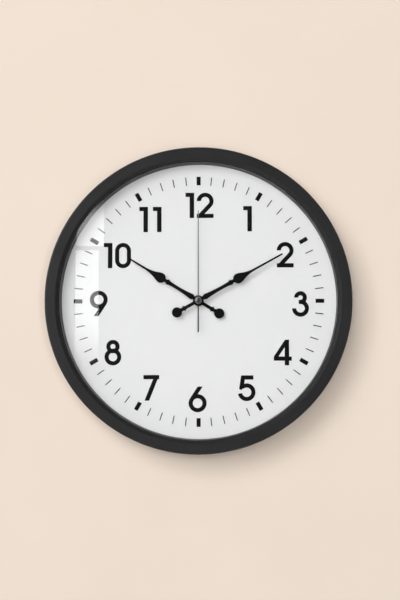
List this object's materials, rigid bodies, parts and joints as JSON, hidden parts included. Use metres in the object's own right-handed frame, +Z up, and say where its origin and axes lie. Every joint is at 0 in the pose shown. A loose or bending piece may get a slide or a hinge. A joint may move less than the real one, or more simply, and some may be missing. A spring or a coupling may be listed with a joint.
{
  "type": "wall clock",
  "caption": "Round black wall clock with a flat glass, a white dial with upright figures, black spade hands and a battery quartz movement behind a flat rear cover.",
  "frame": {"origin": "centre of the ring's flat rear rim, on the axis of the hands", "axes": "+Y into the wall, so the dial faces -Y; +Z up to 12 o'clock; +X to 3 o'clock"},
  "size_m": [0.305, 0.044, 0.305],
  "materials": {
    "black_abs": "satin, finely textured injection-moulded plastic",
    "clear_glass": "polished flat glass",
    "black_spacer": "matte black plastic",
    "white_dial": "matte white sheet",
    "black_print": "matte black ink",
    "black_hand": "matte black lacquer on aluminium",
    "grey_hand": "satin grey lacquer on aluminium",
    "cap_metal": "gunmetal, glossy",
    "cover_plastic": "matte black plastic",
    "movement_plastic": "matte black plastic",
    "white_gear": "natural acetal",
    "steel": "zinc-plated steel",
    "brass": "turned brass",
    "bright_steel": "ground steel",
    "iron": "soft iron laminate",
    "magnet": "sintered ferrite",
    "copper": "enamelled copper wire",
    "board_green": "printed circuit board",
    "chip_resin": "cast black resin",
    "cushion": "black rubber",
    "cell_wrap": "printed plastic sleeve, plain",
    "spring_brass": "spring brass"
  },
  "bodies": {
    "clock_case": {"front_bezel": "black_abs", "glass_lens": "clear_glass", "spacer_ring": "black_spacer", "dial_plate": "white_dial", "printed_figures": "black_print", "hour_marks": "black_print", "minute_marks": "black_print", "rear_cover": "cover_plastic", "dial_retainer": "cover_plastic", "cover_screws": "steel", "hanger_plate": "steel", "hanger_rivets": "steel", "movement_rear_case": "movement_plastic", "movement_front_case": "movement_plastic", "middle_plate": "white_gear", "centre_bush": "brass", "cushion_washer": "cushion", "dial_washer": "brass", "round_nut": "brass", "stator": "iron", "coil_core": "iron", "coil_bobbin": "white_gear", "coil_winding": "copper", "stator_screws": "bright_steel", "circuit_board": "board_green", "quartz_crystal": "bright_steel", "clock_chip": "chip_resin", "positive_contact": "spring_brass", "negative_contact": "spring_brass"},
    "seconds": {"second_wheel": "white_gear", "second_arbor": "bright_steel", "second_hand": "grey_hand", "centre_cap": "cap_metal"},
    "rotor": {"rotor_pinion": "white_gear", "rotor_magnet": "magnet", "rotor_arbor": "bright_steel"},
    "fifth": {"fifth_wheel": "white_gear", "fifth_arbor": "bright_steel"},
    "third": {"third_wheel": "white_gear", "third_arbor": "bright_steel"},
    "centre": {"centre_wheel": "white_gear"},
    "minutes": {"minute_pipe": "brass", "friction_spring": "spring_brass", "minute_hand": "black_hand", "minute_collet": "brass"},
    "minute_work": {"minute_work_wheel": "white_gear"},
    "hours": {"hour_wheel": "white_gear", "hour_hand": "black_hand", "hour_collet": "brass"},
    "setting": {"setting_shaft": "white_gear", "setting_knob": "movement_plastic"},
    "battery": {"battery_can": "bright_steel", "battery_sleeve": "cell_wrap", "battery_cap": "bright_steel"}
  },
  "joints": [
    {"name": "second_hand_turn", "type": "hinge", "parent": "clock_case", "child": "seconds", "pos_m": [0, 0, 0], "axis": [0, 1, 0], "continuous": true},
    {"name": "rotor_turn", "type": "hinge", "parent": "clock_case", "child": "rotor", "pos_m": [-0.00964, 0, 0.0099], "axis": [0, 1, 0], "continuous": true},
    {"name": "fifth_wheel_turn", "type": "hinge", "parent": "clock_case", "child": "fifth", "pos_m": [-0.00375, 0, 0.0065], "axis": [0, 1, 0], "continuous": true},
    {"name": "third_wheel_turn", "type": "hinge", "parent": "clock_case", "child": "third", "pos_m": [0.00863, 0, 0.00314], "axis": [0, 1, 0], "continuous": true},
    {"name": "centre_wheel_turn", "type": "hinge", "parent": "clock_case", "child": "centre", "pos_m": [0, 0, 0], "axis": [0, 1, 0], "continuous": true},
    {"name": "minute_hand_turn", "type": "hinge", "parent": "clock_case", "child": "minutes", "pos_m": [0, 0, 0], "axis": [0, 1, 0], "continuous": true},
    {"name": "minute_work_turn", "type": "hinge", "parent": "clock_case", "child": "minute_work", "pos_m": [-0.01, 0, 0], "axis": [0, 1, 0], "continuous": true},
    {"name": "hour_hand_turn", "type": "hinge", "parent": "clock_case", "child": "hours", "pos_m": [0, 0, 0], "axis": [0, 1, 0], "continuous": true},
    {"name": "setting_knob_turn", "type": "hinge", "parent": "clock_case", "child": "setting", "pos_m": [-0.01707, 0, -0.00707], "axis": [0, 1, 0], "continuous": true},
    {"name": "battery_slide", "type": "slide", "parent": "clock_case", "child": "battery", "axis": [0, 1, 0], "range_m": [0, 0.02]}
  ],
  "couplings": [
    {"joint": "fifth_wheel_turn", "follows": "second_hand_turn", "ratio": -4},
    {"joint": "rotor_turn", "follows": "second_hand_turn", "ratio": 30},
    {"joint": "third_wheel_turn", "follows": "second_hand_turn", "ratio": -0.13333},
    {"joint": "centre_wheel_turn", "follows": "second_hand_turn", "ratio": 0.016667},
    {"joint": "minute_work_turn", "follows": "minute_hand_turn", "ratio": -0.33333},
    {"joint": "hour_hand_turn", "follows": "minute_hand_turn", "ratio": 0.083333},
    {"joint": "setting_knob_turn", "follows": "minute_hand_turn", "ratio": 1}
  ]
}
